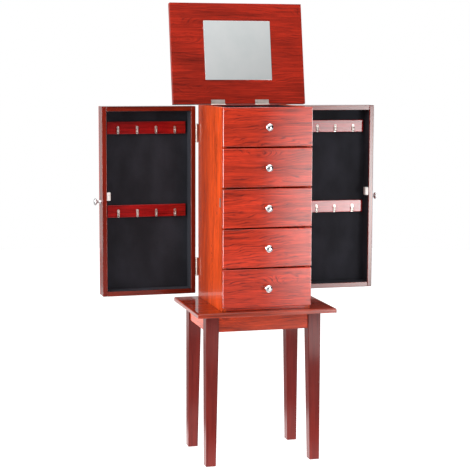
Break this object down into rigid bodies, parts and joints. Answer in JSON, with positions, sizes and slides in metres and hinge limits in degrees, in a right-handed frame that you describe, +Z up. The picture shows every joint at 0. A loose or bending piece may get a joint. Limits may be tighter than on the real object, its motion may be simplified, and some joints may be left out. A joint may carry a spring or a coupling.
{
  "type": "jewelry armoire",
  "caption": "Free-standing jewelry cabinet on a tapered-leg stand, with pull-out drawers, swing-out side doors lined for necklaces, and a flip-up mirrored lid.",
  "frame": {"origin": "on the floor, under the middle of the armoire's bounding box as it stands with lid and doors open", "axes": "+Z up, +Y towards the back, +X to the right of someone facing the drawers"},
  "size_m": [0.7502, 0.3319, 1.1249],
  "materials": {
    "cherry_veneer": "gloss lacquer over reddish cherry veneer",
    "stained_legs": "semi-gloss dark cherry stain",
    "plain_wood": "plain unfinished wood",
    "velvet": "black flocked velvet on card",
    "velvet_rolls": "black velvet over foam",
    "steel": "nickel-plated sheet steel",
    "chrome": "polished chrome",
    "mirror": "silvered glass"
  },
  "bodies": {
    "cabinet": {"stand_top": "cherry_veneer", "front_apron": "cherry_veneer", "back_apron": "cherry_veneer", "left_apron": "cherry_veneer", "right_apron": "cherry_veneer", "front_left_leg": "stained_legs", "front_right_leg": "stained_legs", "back_left_leg": "stained_legs", "back_right_leg": "stained_legs", "corner_blocks": "plain_wood", "leg_bolts": "steel", "left_side_panel": "cherry_veneer", "right_side_panel": "cherry_veneer", "back_panel": "cherry_veneer", "bottom_panel": "cherry_veneer", "top_rails": "cherry_veneer", "tray_floor": "cherry_veneer", "tray_lining": "velvet", "ring_rolls": "velvet_rolls", "drawer_runners": "plain_wood", "side_strike_plates": "steel", "door_hinge_frame_leaves": "steel", "door_hinge_pins": "steel", "lid_hinge_frame_leaves": "steel", "lid_hinge_pins": "steel"},
    "lid": {"lid_panel": "cherry_veneer", "mirror": "mirror", "lid_hinge_lid_leaves": "steel"},
    "left_door": {"left_door_frame": "cherry_veneer", "left_door_skin": "cherry_veneer", "left_door_lining": "velvet", "left_hook_rails": "cherry_veneer", "left_hooks": "chrome", "left_door_knob": "chrome", "left_door_catch": "steel", "left_door_hinge_leaves": "steel"},
    "right_door": {"right_door_frame": "cherry_veneer", "right_door_skin": "cherry_veneer", "right_door_lining": "velvet", "right_hook_rails": "cherry_veneer", "right_hooks": "chrome", "right_door_knob": "chrome", "right_door_catch": "steel", "right_door_hinge_leaves": "steel"},
    "drawer_1": {"drawer_1_front": "cherry_veneer", "drawer_1_box": "plain_wood", "drawer_1_knob": "chrome"},
    "drawer_2": {"drawer_2_front": "cherry_veneer", "drawer_2_box": "plain_wood", "drawer_2_knob": "chrome"},
    "drawer_3": {"drawer_3_front": "cherry_veneer", "drawer_3_box": "plain_wood", "drawer_3_knob": "chrome"},
    "drawer_4": {"drawer_4_front": "cherry_veneer", "drawer_4_box": "plain_wood", "drawer_4_knob": "chrome"},
    "drawer_5": {"drawer_5_front": "cherry_veneer", "drawer_5_box": "plain_wood", "drawer_5_knob": "chrome"}
  },
  "joints": [
    {"name": "lid_hinge", "type": "hinge", "parent": "cabinet", "child": "lid", "pos_m": [0, 0.1035, 0.8692], "axis": [1, 0, 0], "range_deg": [0, 100]},
    {"name": "left_door_hinge", "type": "hinge", "parent": "cabinet", "child": "left_door", "pos_m": [-0.1142, 0.101, 0.6291], "axis": [0, 0, 1], "range_deg": [-15, 89]},
    {"name": "right_door_hinge", "type": "hinge", "parent": "cabinet", "child": "right_door", "pos_m": [0.1142, 0.101, 0.6291], "axis": [0, 0, 1], "range_deg": [-89, 15]},
    {"name": "drawer_1_slide", "type": "slide", "parent": "cabinet", "child": "drawer_1", "axis": [0, -1, 0], "range_m": [0, 0.15]},
    {"name": "drawer_2_slide", "type": "slide", "parent": "cabinet", "child": "drawer_2", "axis": [0, -1, 0], "range_m": [0, 0.15]},
    {"name": "drawer_3_slide", "type": "slide", "parent": "cabinet", "child": "drawer_3", "axis": [0, -1, 0], "range_m": [0, 0.15]},
    {"name": "drawer_4_slide", "type": "slide", "parent": "cabinet", "child": "drawer_4", "axis": [0, -1, 0], "range_m": [0, 0.15]},
    {"name": "drawer_5_slide", "type": "slide", "parent": "cabinet", "child": "drawer_5", "axis": [0, -1, 0], "range_m": [0, 0.15]}
  ]
}
